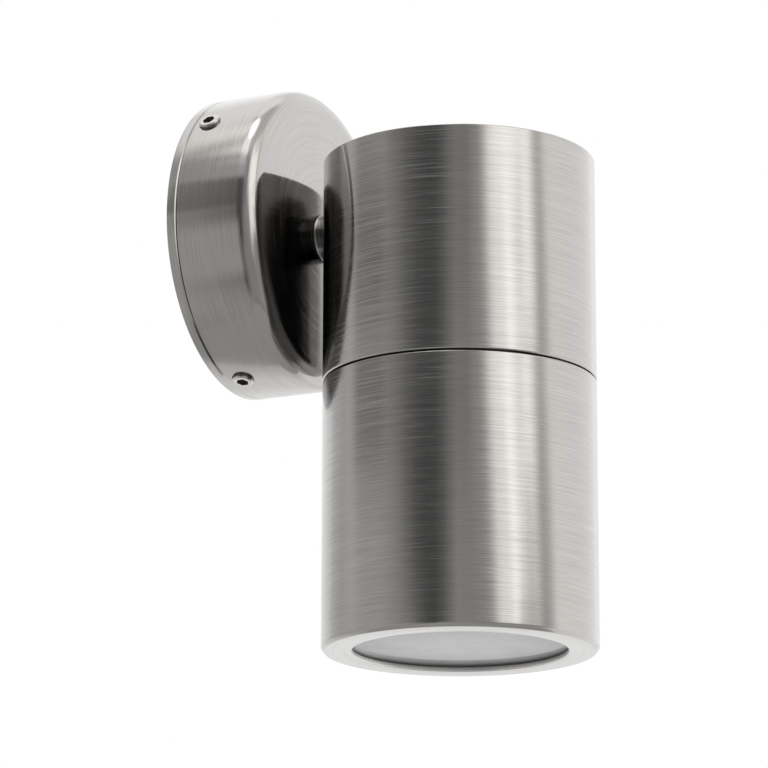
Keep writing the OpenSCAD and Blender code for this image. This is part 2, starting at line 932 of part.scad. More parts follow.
module hood() {
  color("silver")
    on_tube(hood_bottom)
      difference() {
        disc(tube_r, hood_length, hood_chamfer, edge_break);
        translate([0, 0, lip_t])
          cylinder(h = hood_length, r = hood_bore_r);
        translate([0, 0, neck_thread_top - hood_bottom])
          cylinder(h = hood_length, r = hood_mouth_r);
        translate([0, 0, -overrun])
          cylinder(h = lip_t + 2 * overrun, r = window_r);
        rotate_extrude()
          polygon([[window_r + lip_chamfer, 0], [window_r, lip_chamfer],
            [window_r - lip_chamfer, -lip_chamfer]]);
      }
}

module lamp_housing() {
  body_length_up = lamp_length - lamp_base_length;
  lens_seat = lamp_lens_inset + lamp_lens_t;
  color("whitesmoke")
    on_tube(lamp_face)
      rotate_extrude()
        polygon([
          [0, lamp_length],
          [lamp_base_r, lamp_length],
          [lamp_base_r, body_length_up],
          [lamp_r, lamp_rim],
          [lamp_r, 0],
          [lamp_r - lamp_lens_ledge, 0],
          [lamp_r - lamp_lens_ledge, lens_seat],
          [lamp_r - lamp_wall, lens_seat],
          [lamp_r - lamp_wall, lamp_rim],
          [lamp_r - lamp_wall - lamp_board_ledge, lamp_rim],
          [lamp_base_r - lamp_wall, body_length_up],
          [lamp_base_r - lamp_wall, lamp_length - lamp_wall],
          [0, lamp_length - lamp_wall]
        ]);
}

module lamp_lens() {
  color("aliceblue")
    on_tube(lamp_face + lamp_lens_inset)
      cylinder(h = lamp_lens_t, r = lamp_r - lamp_lens_ledge - seat_fit);
}

module led_board() {
  color("white")
    on_tube(lamp_face + lamp_rim - lamp_board_t) {
      cylinder(h = lamp_board_t, r = lamp_r - lamp_wall - seat_fit);
      translate([0, 0, -lamp_emitter_t])
        cylinder(h = lamp_emitter_t, r = lamp_emitter_r);
    }
}

module lamp_driver() {
  color("darkslategray")
    on_tube(lamp_base - lamp_wall - lamp_driver_t)
      disc(lamp_base_r - lamp_wall - lamp_driver_gap, lamp_driver_t, edge_break, edge_break);
}

module lamp_pins() {
  color("gold")
    on_tube(lamp_base)
      rotate([0, 0, 90])
        both_sides(pin_spacing / 2) {
          cylinder(h = pin_neck_length + pin_head_t / 2, r = pin_neck_r);
          translate([0, 0, pin_neck_length])
            disc(pin_head_r, pin_head_t, edge_break, edge_break);
        }
}

mounting_plate();
wall_gasket();
cable_grommet();
plate_seal();
canopy();
set_screws();
canopy_washer();
canopy_nut();
stem_seal();
stem();
tube_seal();
saddle_washer();
tube_nut();
terminal_block();
terminal_sleeves();
terminal_screws();
block_screws();
live_lead();
neutral_lead();
earth_lead();
earth_tag();
earth_screw();
body_tube();
body_cap();
neck_ring();
neck_seal();
holder_bracket();
bracket_screws();
lamp_holder();
holder_contacts();
holder_screws();
lens_gasket();
lens_glass();
lens_cushion();
lens_ring();
hood();
lamp_housing();
lamp_lens();
led_board();
lamp_driver();
lamp_pins();
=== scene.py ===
import math

import bmesh
import bpy
from mathutils import Matrix, Vector


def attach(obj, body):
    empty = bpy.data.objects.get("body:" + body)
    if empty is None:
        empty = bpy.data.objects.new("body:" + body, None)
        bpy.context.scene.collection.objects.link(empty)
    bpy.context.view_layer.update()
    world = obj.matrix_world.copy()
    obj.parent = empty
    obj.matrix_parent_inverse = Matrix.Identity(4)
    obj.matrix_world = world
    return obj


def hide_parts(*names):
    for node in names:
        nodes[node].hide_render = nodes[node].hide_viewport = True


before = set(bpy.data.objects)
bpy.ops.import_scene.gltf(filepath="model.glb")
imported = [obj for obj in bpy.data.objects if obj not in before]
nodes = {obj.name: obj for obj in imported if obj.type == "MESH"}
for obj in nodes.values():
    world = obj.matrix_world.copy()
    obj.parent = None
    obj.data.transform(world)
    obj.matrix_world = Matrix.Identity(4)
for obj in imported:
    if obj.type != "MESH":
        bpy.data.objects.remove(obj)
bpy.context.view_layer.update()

# The mounting plate: a turned stainless disc on the wall, with a spigot that the canopy slides over.
# A foam gasket lies in its back, a rubber grommet closes its cable hole, and a rubber ring lies
# round the root of the spigot.
MM = 0.001
ROUND_STEPS = 5
TURN_STEPS = 256
SMALL_STEPS = 64
WELD_GAP = 1e-7
SHARP_ANGLE = 32
NOISE_LOW = 0.3
NOISE_HIGH = 0.7
CLOUD_SIZE = 9
STREAK = 0.13
LINE_DEPTH = 0.006
SCRATCH_LOW = 0.54
SCRATCH_HIGH = 0.76
SCRATCH_DULL = 0.12
SCRATCH_DEPTH = 0.3
OUTWARDS = Matrix.Rotation(math.pi / 2, 4, "X")


def at(x, y, z):
    """A place given in millimetres."""
    return Matrix.Translation((x * MM, y * MM, z * MM))


def turned(corners, steps=TURN_STEPS):
    """A lathe-turned piece from its section: (radius, height, rounding) corners, in millimetres."""
    made = bmesh.new()
    points = [made.verts.new((r * MM, 0, h * MM)) for r, h, _ in corners]
    hollow = corners[0][0] > 0
    for a, b in zip(points, points[1:] + points[: int(hollow)]):
        made.edges.new((a, b))
    for point, (_, _, rounding) in zip(points, corners):
        if rounding:
            bmesh.ops.bevel(
                made,
                geom=[point],
                offset=rounding * MM,
                offset_type="OFFSET",
                segments=ROUND_STEPS,
                profile=0.5,
                affect="VERTICES",
                material=-1,
            )
    bmesh.ops.spin(
        made,
        geom=made.verts[:] + made.edges[:],
        cent=(0, 0, 0),
        axis=(0, 0, 1),
        dvec=(0, 0, 0),
        angle=math.tau,
        steps=steps,
        use_merge=True,
    )
    bmesh.ops.remove_doubles(made, verts=made.verts[:], dist=WELD_GAP)
    bmesh.ops.recalc_face_normals(made, faces=made.faces[:])
    return made


def out_from_wall(made):
    """Turns a piece that was drawn upwards so that it stands out from the wall."""
    made.transform(OUTWARDS)
    return made


def finished(name, made, finish, sharp=SHARP_ANGLE):
    """The piece as an object, smooth but for its sharp edges, in its finish."""
    mesh = bpy.data.meshes.new(name)
    made.to_mesh(mesh)
    made.free()
    mesh.shade_smooth()
    mesh.set_sharp_from_angle(angle=math.radians(sharp))
    mesh.materials.append(finish)
    piece = bpy.data.objects.new(name, mesh)
    bpy.context.collection.objects.link(piece)
    return piece


def add_bar(made, radius, length, place, sides=SMALL_STEPS):
    """Adds a plain bar, round or with flats, along the upright axis of its place."""
    bmesh.ops.create_cone(
        made,
        cap_ends=True,
        segments=sides,
        radius1=radius * MM,
        radius2=radius * MM,
        depth=length * MM,
        matrix=place,
    )


def cut_away(piece, cutters, operation="DIFFERENCE"):
    """Cuts the shapes out of the piece, or keeps only what lies in them, as its new mesh."""
    tool_mesh = bpy.data.meshes.new("cutters")
    cutters.to_mesh(tool_mesh)
    cutters.free()
    tool = bpy.data.objects.new("cutters", tool_mesh)
    bpy.context.collection.objects.link(tool)
    cut = piece.modifiers.new("cut", "BOOLEAN")
    cut.operation = operation
    cut.solver = "EXACT"
    cut.object = tool
    graph = bpy.context.evaluated_depsgraph_get()
    whole = piece.data
    piece.data = bpy.data.meshes.new_from_object(piece.evaluated_get(graph), depsgraph=graph)
    piece.data.name = whole.name
    piece.modifiers.remove(cut)
    bpy.data.objects.remove(tool)
    bpy.data.meshes.remove(tool_mesh)
    bpy.data.meshes.remove(whole)
    piece.data.set_sharp_from_angle(angle=math.radians(SHARP_ANGLE))


def new_finish(name, **even):
    """A finish, with its even values on the shader's own sockets."""
    made = bpy.data.materials.new(name)
    made.use_nodes = True
    shader = made.node_tree.nodes["Principled BSDF"]
    for socket, value in even.items():
        shader.inputs[socket.replace("_", " ")].default_value = value
    return made, shader


def add(finish, kind, wired=None, **settings):
    """Adds a node to a finish. Its inputs take plain values or the outputs of other nodes."""
    made = finish.node_tree.nodes.new("ShaderNode" + kind)
    for key, value in settings.items():
        setattr(made, key, value)
    for socket, value in (wired or {}).items():
        if isinstance(value, bpy.types.NodeSocket):
            finish.node_tree.links.new(value, made.inputs[socket])
        else:
            made.inputs[socket].default_value = value
    return made


def drive(finish, shader, **wired):
    """Wires nodes' outputs to the shader."""
    for socket, output in wired.items():
        finish.node_tree.links.new(output, shader.inputs[socket.replace("_", " ")])


def reckon(made, operation, *values):
    """One step of arithmetic on plain values or other nodes' outputs."""
    return add(made, "Math", dict(enumerate(values)), operation=operation).outputs["Value"]


def between(made, value, low, high, start=0.0, end=1.0, ease="SMOOTHSTEP"):
    """Runs from start to end as the value goes from low to high."""
    wired = {"Value": value, "From Min": low, "From Max": high, "To Min": start, "To Max": end}
    return add(made, "MapRange", wired, interpolation_type=ease).outputs["Result"]


def spread(made, noise, start, end):
    """Spreads a noise, which keeps to the middle of its range, evenly from start to end."""
    return between(made, noise, NOISE_LOW, NOISE_HIGH, start, end, "LINEAR")


def tinted(made, tone, red, green, blue):
    """A colour that has so much of the tone in its red, green and blue."""
    wired = {
        "Red": reckon(made, "MULTIPLY", tone, red),
        "Green": reckon(made, "MULTIPLY", tone, green),
        "Blue": reckon(made, "MULTIPLY", tone, blue),
    }
    return add(made, "CombineColor", wired).outputs["Color"]


def turned_steel(name, centre=(0, 0, 0), tilt=0.0, axis="Z", base=0.4, polish=0.09, grain=1.0):
    """Brushed stainless steel, turned on a lathe: its fine lines run round the piece's axis."""
    made, shader = new_finish(name, Metallic=1.0, Anisotropic=0.9, Anisotropic_Rotation=0.25)
    place = add(made, "TexCoord").outputs["Object"]
    on_axis = add(
        made,
        "Mapping",
        {"Vector": place, "Location": tuple(-c for c in centre), "Rotation": (tilt, 0, 0)},
    ).outputs["Vector"]
    part = add(made, "SeparateXYZ", {"Vector": on_axis})
    flat = add(made, "CombineXYZ", {"X": part.outputs["X"], "Y": part.outputs["Y"]})
    radius = add(made, "VectorMath", {0: flat.outputs["Vector"]}, operation="LENGTH")
    across = reckon(made, "ADD", part.outputs["Z"], radius.outputs["Value"])

    def lines(along, over, detail):
        """Noise drawn out round the axis, its cells so many millimetres along and over the lines."""
        where = add(
            made,
            "CombineXYZ",
            {
                "X": reckon(made, "MULTIPLY", part.outputs["X"], 1 / (along * MM)),
                "Y": reckon(made, "MULTIPLY", part.outputs["Y"], 1 / (along * MM)),
                "Z": reckon(made, "MULTIPLY", across, 1 / (over * MM)),
            },
        ).outputs["Vector"]
        return add(made, "TexNoise", {"Vector": where, "Scale": 1.0, "Detail": detail}).outputs["Fac"]

    fine = lines(along=14.0, over=0.15, detail=2.0)
    bands = lines(along=60.0, over=1.7, detail=1.0)
    faint = lines(along=12.0, over=0.13, detail=0.0)
    scratches = between(made, faint, SCRATCH_LOW, SCRATCH_HIGH)
    streak = STREAK * grain
    tone = spread(made, fine, base * (1 - streak), base * (1 + streak))
    tone = reckon(made, "MULTIPLY", tone, spread(made, bands, 0.985, 1.015))
    dull = spread(made, fine, polish - 0.03, polish + 0.05)
    dull = reckon(made, "MULTIPLY_ADD", scratches, SCRATCH_DULL, dull)
    relief = reckon(made, "MULTIPLY_ADD", scratches, -SCRATCH_DEPTH, fine)
    depth = LINE_DEPTH * grain * MM
    bump = add(made, "Bump", {"Height": relief, "Strength": 1.0, "Distance": depth})
    round_axis = add(made, "Tangent", direction_type="RADIAL", axis=axis).outputs["Tangent"]
    drive(
        made,
        shader,
        Base_Color=tinted(made, tone, 1.0, 0.98, 0.957),
        Roughness=dull,
        Normal=bump.outputs["Normal"],
        Tangent=round_axis,
    )
    return made


def moulded(name, colour, roughness, speckle=0.06, size=0.4, depth=0.01, **even):
    """A moulded finish: rubber, plastic or ceramic, with a fine even texture."""
    made, shader = new_finish(name, **even)
    place = add(made, "TexCoord").outputs["Object"]
    fine = {"Vector": place, "Scale": 1 / (size * MM), "Detail": 3.0, "Roughness": 0.6}
    grain = add(made, "TexNoise", fine).outputs["Fac"]
    broad = {"Vector": place, "Scale": 1 / (CLOUD_SIZE * MM), "Detail": 2.0}
    cloud = add(made, "TexNoise", broad).outputs["Fac"]
    shade = spread(made, cloud, 1 - speckle, 1 + speckle)
    tint = add(made, "VectorMath", {0: colour, "Scale": shade}, operation="SCALE").outputs["Vector"]
    polish = spread(made, grain, roughness - 0.06, roughness + 0.06)
    bump = add(made, "Bump", {"Height": grain, "Strength": 0.3, "Distance": depth * MM})
    drive(made, shader, Base_Color=tint, Roughness=polish, Normal=bump.outputs["Normal"])
    return made


PLATE_R = 34.0
PLATE_T = 2.3
SPIGOT_R = 29.3
SPIGOT_BORE = 27.3
SPIGOT_END = 11.0
GASKET_OUTER = 32.5
GASKET_INNER = 29.5
GASKET_DEPTH = 1.2
CABLE_HOLE = 6.05
GROMMET_SEAT = 8.2
GROMMET_DEPTH = 0.8
FINE_EDGE = 0.1
EDGE = 0.25
SOFT_EDGE = 0.3
SEAM_CHAMFER = 0.3
WALL_SCREW_X = 22.0
WALL_SCREW_HOLE = 2.4
PLATE_DRILL = 20

wall_steel = turned_steel("wall_steel", tilt=math.pi / 2, axis="Y", grain=0.65)
plate_shape = turned(
    [
        (CABLE_HOLE, PLATE_T, FINE_EDGE),
        (SPIGOT_BORE, PLATE_T, SOFT_EDGE),
        (SPIGOT_BORE, SPIGOT_END, EDGE),
        (SPIGOT_R, SPIGOT_END, EDGE),
        (SPIGOT_R, PLATE_T, 0),
        (PLATE_R - SEAM_CHAMFER, PLATE_T, 0),
        (PLATE_R, PLATE_T - SEAM_CHAMFER, 0),
        (PLATE_R, 0, EDGE),
        (GASKET_OUTER, 0, 0),
        (GASKET_OUTER, GASKET_DEPTH, 0),
        (GASKET_INNER, GASKET_DEPTH, 0),
        (GASKET_INNER, 0, 0),
        (GROMMET_SEAT, 0, 0),
        (GROMMET_SEAT, GROMMET_DEPTH, 0),
        (CABLE_HOLE, GROMMET_DEPTH, 0),
    ]
)
plate = finished("mounting_plate_turned", out_from_wall(plate_shape), wall_steel)
screw_holes = bmesh.new()
for side in (-1, 1):
    place = at(side * WALL_SCREW_X, 0, 0) @ OUTWARDS
    add_bar(screw_holes, WALL_SCREW_HOLE, PLATE_DRILL, place, sides=48)
cut_away(plate, screw_holes)
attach(plate, "wall_plate")
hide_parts("mounting_plate")

rubber = moulded("black_rubber", (0.012, 0.012, 0.013), 0.5, size=0.25)
foam = moulded("grey_foam", (0.15, 0.15, 0.155), 0.85, size=0.5, depth=0.12)
for name in ("plate_seal", "cable_grommet"):
    nodes[name].data.materials[0] = rubber
nodes["wall_gasket"].data.materials[0] = foam

# The canopy: a cup turned from stainless bar, with a rounded front edge. It has three threaded
# holes round its side for the set screws, a hole for the stem and two blind holes for the block.
CANOPY_R = 34.0
CANOPY_BORE = 31.5
CANOPY_RIM = 2.42
CANOPY_CHAMFER = 0.18
CANOPY_FACE = 21.5
CANOPY_FLOOR = 19.0
CANOPY_FILLET = 4.25
CANOPY_HOLLOW_FILLET = 1.75
CANOPY_RIM_EDGE = 0.15
CANOPY_STEPS = 384
STEM_HOLE = 4.1
SET_SCREW_ANGLES = (17.0, 139.4, 254.6)
SET_SCREW_PLACE = 6.1
SET_SCREW_HOLE = 2.5
SET_SCREW_DRILL = 8
SET_SCREW_DRILL_MIDDLE = 32.5
BLOCK_SCREW_X = 3.75
BLOCK_SCREW_Z = -15.5
BLOCK_SCREW_HOLE = 1.2
BLOCK_SCREW_DRILL = 2.6

canopy_shape = turned(
    [
        (STEM_HOLE, CANOPY_FLOOR, 0),
        (CANOPY_BORE, CANOPY_FLOOR, CANOPY_HOLLOW_FILLET),
        (CANOPY_BORE, CANOPY_RIM, CANOPY_RIM_EDGE),
        (CANOPY_R - CANOPY_CHAMFER, CANOPY_RIM, 0),
        (CANOPY_R, CANOPY_RIM + CANOPY_CHAMFER, 0),
        (CANOPY_R, CANOPY_FACE, CANOPY_FILLET),
        (STEM_HOLE, CANOPY_FACE, 0),
    ],
    steps=CANOPY_STEPS,
)
canopy = finished("canopy_turned", out_from_wall(canopy_shape), wall_steel)


def set_screw_place(angle):
    """A set screw's own axis, out through the canopy's side from the middle of the canopy."""
    turn = Matrix.Rotation(-math.radians(angle), 4, "Y")
    return turn @ at(0, -SET_SCREW_PLACE, 0) @ Matrix.Rotation(math.pi / 2, 4, "Y")


holes = bmesh.new()
for angle in SET_SCREW_ANGLES:
    place = set_screw_place(angle) @ at(0, 0, SET_SCREW_DRILL_MIDDLE)
    add_bar(holes, SET_SCREW_HOLE, SET_SCREW_DRILL, place)
for side in (-1, 1):
    place = at(side * BLOCK_SCREW_X, -CANOPY_FLOOR, BLOCK_SCREW_Z) @ OUTWARDS
    add_bar(holes, BLOCK_SCREW_HOLE, BLOCK_SCREW_DRILL, place, sides=32)
cut_away(canopy, holes)
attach(canopy, "fitting")
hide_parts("canopy")

# The set screws: three stainless grub screws with hexagon sockets, screwed in until their tips grip
# the plate's spigot. Their heads stand a little out of the canopy's side.
SCREW_TIP = 29.4
SCREW_HEAD = 34.8
SCREW_R = 2.4
SCREW_CHAMFER = 0.3
SCREW_EDGE = 0.05
TIP_TAPER = 0.8
TIP_CUP_R = 0.9
TIP_RIM_R = 1.6
SOCKET_SIDES = 6
SOCKET_R = 1.25 / math.cos(math.pi / SOCKET_SIDES)
SOCKET_DEPTH = 2.0

fastener = moulded(
    "fastener_steel", (0.5, 0.49, 0.48), 0.27, speckle=0.12, size=0.2, depth=0.004, Metallic=1.0
)
screw_shapes = bmesh.new()
sockets = bmesh.new()
for angle in SET_SCREW_ANGLES:
    screw = turned(
        [
            (0, SCREW_TIP + TIP_TAPER, 0),
            (TIP_CUP_R, SCREW_TIP, FINE_EDGE),
            (TIP_RIM_R, SCREW_TIP, FINE_EDGE),
            (SCREW_R, SCREW_TIP + TIP_TAPER, FINE_EDGE),
            (SCREW_R, SCREW_HEAD - SCREW_CHAMFER, SCREW_EDGE),
            (SCREW_R - SCREW_CHAMFER, SCREW_HEAD, FINE_EDGE),
            (0, SCREW_HEAD, 0),
        ],
        steps=SMALL_STEPS,
    )
    screw.transform(set_screw_place(angle))
    held = bpy.data.meshes.new("screw")
    screw.to_mesh(held)
    screw.free()
    screw_shapes.from_mesh(held)
    bpy.data.meshes.remove(held)
    place = set_screw_place(angle) @ at(0, 0, SCREW_HEAD)
    add_bar(sockets, SOCKET_R, 2 * SOCKET_DEPTH, place, sides=SOCKET_SIDES)
set_screws = finished("set_screws_cut", screw_shapes, fastener)
cut_away(set_screws, sockets)
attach(set_screws, "fitting")
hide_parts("set_screws")

# The stem: a turned stainless shoulder between canopy and tube, coped to the tube's side, with
# threaded ends and a bore for the leads. A washer and nut hold it in the canopy, and thin rubber
# rings seal it at either face.
STEM_BACK = 13.2
STEM_FRONT = 34.3
STEM_BORE = 2.7
STEM_THREAD = 4.0
STEM_CHAMFER = 0.3
STEM_STEPS = 128
SHOULDER_R = 5.5
SHOULDER_BACK = 21.7
BEAD_FLAT = 0.06
BEAD_SLOPE = 0.34
BEAD_DROP = 0.15
BEAD_FRONT = SHOULDER_BACK + BEAD_FLAT + BEAD_SLOPE
TUBE_Y = -55.0
COPING_R = 30.4
COPING_START = SHOULDER_BACK + 2
COPING_END = STEM_FRONT + 1
COPING_LENGTH = 80
COPING_STEPS = 512

stem_shape = turned(
    [
        (STEM_BORE, STEM_BACK, FINE_EDGE),
        (STEM_THREAD - STEM_CHAMFER, STEM_BACK, 0),
        (STEM_THREAD, STEM_BACK + STEM_CHAMFER, 0),
        (STEM_THREAD, SHOULDER_BACK, 0),
        (SHOULDER_R, SHOULDER_BACK, 0),
        (SHOULDER_R, SHOULDER_BACK + BEAD_FLAT, 0),
        (SHOULDER_R - BEAD_DROP, BEAD_FRONT, 0),
        (SHOULDER_R - BEAD_DROP, STEM_FRONT, 0),
        (STEM_BORE, STEM_FRONT, FINE_EDGE),
    ],
    steps=STEM_STEPS,
)
stem_steel = turned_steel("stem_steel", tilt=math.pi / 2, axis="Y", base=0.3, grain=0.65)
stem = finished("stem_turned", out_from_wall(stem_shape), stem_steel)

# The coping cut is all that lies outside the threaded core and inside the tube's round side.
outside_thread = turned(
    [
        (STEM_THREAD, COPING_START, 0),
        (COPING_R, COPING_START, 0),
        (COPING_R, COPING_END, 0),
        (STEM_THREAD, COPING_END, 0),
    ],
    steps=STEM_STEPS,
)
coping = finished("coping", out_from_wall(outside_thread), stem_steel)
tube_side = bmesh.new()
add_bar(tube_side, COPING_R, COPING_LENGTH, at(0, TUBE_Y, 0), sides=COPING_STEPS)
cut_away(coping, tube_side, "INTERSECT")
coped = bmesh.new()
coped.from_mesh(coping.data)
coping_mesh = coping.data
bpy.data.objects.remove(coping)
bpy.data.meshes.remove(coping_mesh)
cut_away(stem, coped)
# The bead round the shoulder has a rougher cut finish, and its steel is painted far paler than the
# stem's: a painted highlight, which shows as a bright line at the stem's edge.
bead_steel_painted_highlight = moulded(
    "bead_steel_painted_highlight", (0.62, 0.6, 0.58), 0.3, speckle=0.1, size=0.2, depth=0.003, Metallic=1.0
)
stem.data.materials.append(bead_steel_painted_highlight)
for face in stem.data.polygons:
    outward = math.hypot(face.center.x, face.center.z)
    on_bead = -BEAD_FRONT * MM < face.center.y < -SHOULDER_BACK * MM
    if on_bead and outward > (SHOULDER_R - BEAD_DROP) * MM:
        face.material_index = 1
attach(stem, "fitting")
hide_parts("stem")

for name in ("canopy_washer", "canopy_nut", "tube_nut"):
    nodes[name].data.materials[0] = fastener
inner_steel = moulded(
    "inner_steel", (0.45, 0.44, 0.43), 0.34, speckle=0.1, size=0.3, depth=0.005, Metallic=1.0
)
nodes["saddle_washer"].data.materials[0] = inner_steel
for name in ("stem_seal", "tube_seal"):
    nodes[name].data.materials[0] = rubber

# The terminal block: a moulded nylon block with three brass ways, each with two clamp screws, held
# to the canopy's floor by two small screws.
nylon = moulded("terminal_plastic", (0.72, 0.71, 0.67), 0.42, size=0.3, depth=0.01)
brass = moulded("brass", (0.72, 0.5, 0.21), 0.28, speckle=0.08, size=0.2, depth=0.004, Metallic=1.0)
nodes["terminal_block"].data.materials[0] = nylon
nodes["terminal_sleeves"].data.materials[0] = brass
for name in ("terminal_screws", "block_screws"):
    nodes[name].data.materials[0] = fastener

# The leads: three sleeved flexible cores that run from the terminal block, up over its top and
# through the hollow stem, live and neutral to the lamp holder and earth to its screw on the bracket.
LEAD_R = 0.9
LEAD_SIDES = 20
LEAD_STEPS = 8
LEAD_SHARP_ANGLE = 60
STRIPE_SHARE = 0.35
WAY_PITCH = 7.5
WAY_OUT = 14.5
WAY_DROP = 10.0
CLAMPED_LENGTH = 4.0
BORE_RING_R = STEM_BORE / 2
BORE_ANGLES = {-1: 150, 0: 270, 1: 30}
TURN_R = 2.4
LEAD_BOW = 2.0
CONTACT_Y = 5.0
CONTACT_END = -29.5
BRACKET_TOP = -22.0
EARTH_X = 18.75
EARTH_BEND = -45.0
EARTH_END = -50.8
EARTH_HEIGHT = -20.5

# Shares of the way along X, Y and Z, from each stretch's start to its end
RISE_SHARES = ((0.06, 0.1, 0.26), (0.32, 0.46, 0.54), (0.62, 0.86, 0.78), (0.82, 1, 1))
DROP_SHARES = ((0.2, 0.22, 0.04), (0.52, 0.52, 0.22), (0.8, 0.8, 0.5), (0.96, 0.96, 0.78))
EARTH_SHARES = ((0.1, 0.24, 0.09), (0.38, 0.42, 0.4), (0.7, 0.54, 0.71), (0.93, 0.7, 0.94))


def in_bore(way, depth):
    """A lead's place in the stem's bore, so far out from the wall."""
    angle = math.radians(BORE_ANGLES[way])
    return Vector((BORE_RING_R * math.cos(angle), -depth, BORE_RING_R * math.sin(angle)))


def partway(start, end, shares):
    """A point between two others, by its share of the way along each axis."""
    return Vector([a + (b - a) * share for a, b, share in zip(start, end, shares)])


def lead_route(way, bend, end, shares):
    """From its way in the block up and round into the stem, through it, and by its bend to its end."""
    mouth = Vector((way * WAY_PITCH, -WAY_OUT, -WAY_DROP))
    entry = in_bore(way, STEM_BACK - TURN_R / 2)
    turn = entry + Vector((0, TURN_R, -TURN_R))
    slant = math.sqrt(0.5)
    outlet = in_bore(way, STEM_FRONT + LEAD_R / 2)
    sideways = Vector((way * LEAD_BOW, 0, 0))
    return [
        mouth - Vector((0, 0, CLAMPED_LENGTH)),
        mouth,
        *(partway(mouth, turn, rise) for rise in RISE_SHARES),
        entry + TURN_R * Vector((0, slant, slant - 1)),
        entry,
        in_bore(way, STEM_BACK + 2 * LEAD_R),
        in_bore(way, CANOPY_FACE),
        in_bore(way, STEM_FRONT),
        *(partway(outlet, bend, s) + sideways * math.sin(math.pi * s[0]) for s in shares),
        bend,
        (bend + end) / 2,
        end,
    ]


def contact_route(way):
    """Live's or neutral's route, down through the bracket to its contact."""
    bend = Vector((0, TUBE_Y + way * CONTACT_Y, BRACKET_TOP + LEAD_R))
    end = Vector((0, TUBE_Y + way * CONTACT_Y, CONTACT_END))
    return lead_route(way, bend, end, DROP_SHARES)


def smooth_route(points):
    """The lead's centre line: a smooth curve through its points, in metres."""
    ends = [points[0], *points, points[-1]]
    line = []
    for a, b, c, d in zip(ends, ends[1:], ends[2:], ends[3:]):
        a, b, c, d = (point * MM for point in (a, b, c, d))
        for step in range(LEAD_STEPS):
            s = step / LEAD_STEPS
            bend = (2 * a - 5 * b + 4 * c - d) * s**2 + (3 * b - a - 3 * c + d) * s**3
            line.append((2 * b + (c - a) * s + bend) / 2)
    line.append(points[-1] * MM)
    return line


def sleeved_lead(name, node, points, finish, stripe=None):
    """A core in its sleeve, drawn along its route and closed at both ends."""
    made = bmesh.new()
    line = smooth_route(points)
    turn = (line[1] - line[0]).to_track_quat("Z", "Y")
    made_ring = bmesh.ops.create_circle(
        made,
        cap_ends=False,
        segments=LEAD_SIDES,
        radius=LEAD_R * MM,
        matrix=Matrix.Translation(line[0]) @ turn.to_matrix().to_4x4(),
    )
    ring = list({edge for vert in made_ring["verts"] for edge in vert.link_edges})
    bmesh.ops.contextual_create(made, geom=ring)
    ahead = line[1] - line[0]
    for before, here, after in zip(line, line[1:], line[2:] + [None]):
        new_ahead = (after or here) - before
        swing = ahead.rotation_difference(new_ahead).to_matrix().to_4x4()
        grown = bmesh.ops.extrude_edge_only(made, edges=ring)["geom"]
        ring = [e for e in grown if isinstance(e, bmesh.types.BMEdge)]
        corners = [v for v in grown if isinstance(v, bmesh.types.BMVert)]
        ring = [e for e in ring if e.verts[0] in corners and e.verts[1] in corners]
        bmesh.ops.transform(
            made,
            matrix=Matrix.Translation(here) @ swing @ Matrix.Translation(-before),
            verts=corners,
        )
        ahead = new_ahead
    bmesh.ops.contextual_create(made, geom=ring)
    bmesh.ops.recalc_face_normals(made, faces=made.faces[:])
    lead = finished(name, made, finish, sharp=LEAD_SHARP_ANGLE)
    if stripe:
        lead.data.materials.append(stripe)
        for number, face in enumerate(lead.data.polygons):
            side = (number - 1) % LEAD_SIDES
            if len(face.vertices) == 4 and side < LEAD_SIDES * STRIPE_SHARE:
                face.material_index = 1
    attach(lead, "fitting")
    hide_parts(node)


brown = moulded("brown_sleeving", (0.11, 0.042, 0.018), 0.42, size=0.25, depth=0.006)
blue = moulded("blue_sleeving", (0.015, 0.1, 0.42), 0.42, size=0.25, depth=0.006)
green = moulded("green_sleeving", (0.03, 0.24, 0.06), 0.42, size=0.25, depth=0.006)
yellow = moulded("yellow_stripe", (0.75, 0.58, 0.03), 0.42, size=0.25, depth=0.006)
earth_bend = Vector((EARTH_X, EARTH_BEND, EARTH_HEIGHT))
earth_end = Vector((EARTH_X, EARTH_END, EARTH_HEIGHT))
earth_route = lead_route(0, earth_bend, earth_end, EARTH_SHARES)
sleeved_lead("live_lead_sleeve", "live_lead", contact_route(1), brown)
sleeved_lead("neutral_lead_sleeve", "neutral_lead", contact_route(-1), blue)
sleeved_lead("earth_lead_sleeve", "earth_lead", earth_route, green, yellow)
for name in ("earth_tag", "earth_screw"):
    nodes[name].data.materials[0] = brass

# The body tube: drawn stainless tube, turned and brushed round its axis, with a cap let into
# its top.
TUBE_R = 30.0
TUBE_BORE = 28.0
TUBE_TOP = 12.75
TUBE_BOTTOM = -37.0
CAP_SEAT = 28.8
CAP_T = 2.5
CAP_GAP = 0.05
STEM_DRILL = 10

tube_steel = turned_steel("tube_steel", centre=(0, TUBE_Y * MM, 0))


def on_tube(made):
    """Moves a piece that was drawn round the origin to the tube's axis."""
    made.transform(Matrix.Translation((0, TUBE_Y * MM, 0)))
    return made


tube_shape = turned(
    [
        (TUBE_BORE, TUBE_BOTTOM, FINE_EDGE),
        (TUBE_R - EDGE, TUBE_BOTTOM, 0),
        (TUBE_R, TUBE_BOTTOM + EDGE, 0),
        (TUBE_R, TUBE_TOP, EDGE),
        (CAP_SEAT, TUBE_TOP, 0),
        (CAP_SEAT, TUBE_TOP - CAP_T, 0),
        (TUBE_BORE, TUBE_TOP - CAP_T, FINE_EDGE),
    ]
)
tube = finished("body_tube_turned", on_tube(tube_shape), tube_steel)
stem_hole = bmesh.new()
add_bar(stem_hole, STEM_HOLE, STEM_DRILL, at(0, TUBE_Y + TUBE_R, 0) @ OUTWARDS)
cut_away(tube, stem_hole)
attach(tube, "fitting")
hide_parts("body_tube")

